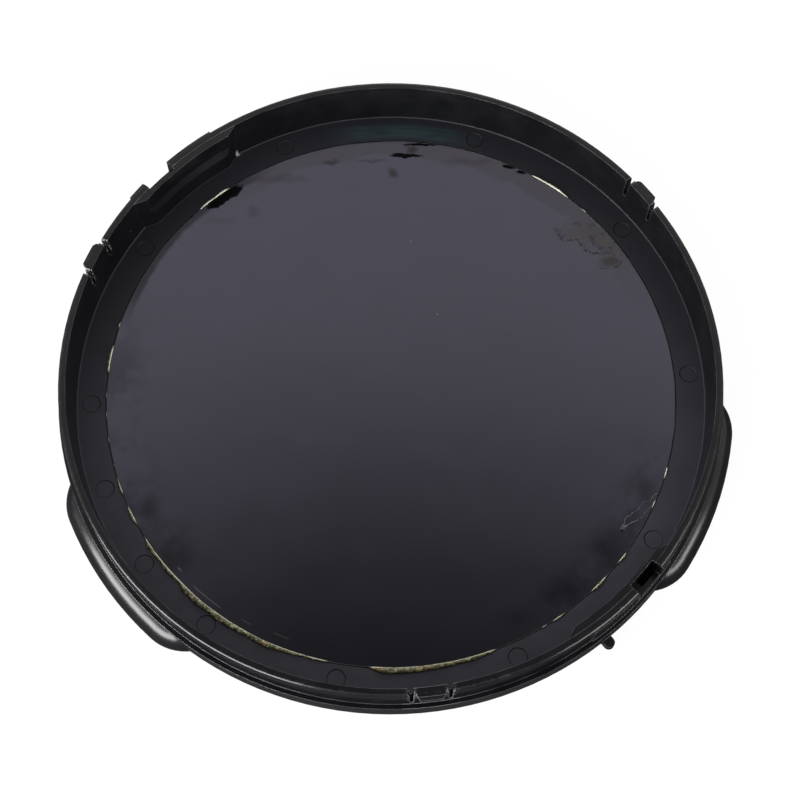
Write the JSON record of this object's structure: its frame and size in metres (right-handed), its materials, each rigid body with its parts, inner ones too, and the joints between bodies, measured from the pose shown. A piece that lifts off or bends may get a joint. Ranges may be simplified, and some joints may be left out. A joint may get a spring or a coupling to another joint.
{
  "type": "telescope solar filter",
  "caption": "Shallow round front cell that plugs into a telescope tube, with dark glossy solar film glued over its window, snap tabs, inner catch bosses and finger ears",
  "frame": {"origin": "On the optical axis, in the plane of the shoulder that seats on the telescope's ring", "axes": "+Z runs out of the open side, the way the cell is pushed into the telescope; +Y points away from the camera, to the back of the rim as pictured, and +X to its right"},
  "size_m": [0.2462, 0.2475, 0.0221],
  "materials": {
    "cell_plastic": "satin black moulding",
    "black_film": "glossy, mirror-like",
    "cured_glue": "uneven, yellowed and glossy"
  },
  "bodies": {
    "root": {"filter_cell": "cell_plastic", "solar_film": "black_film", "adhesive_bead": "cured_glue"}
  },
  "joints": []
}
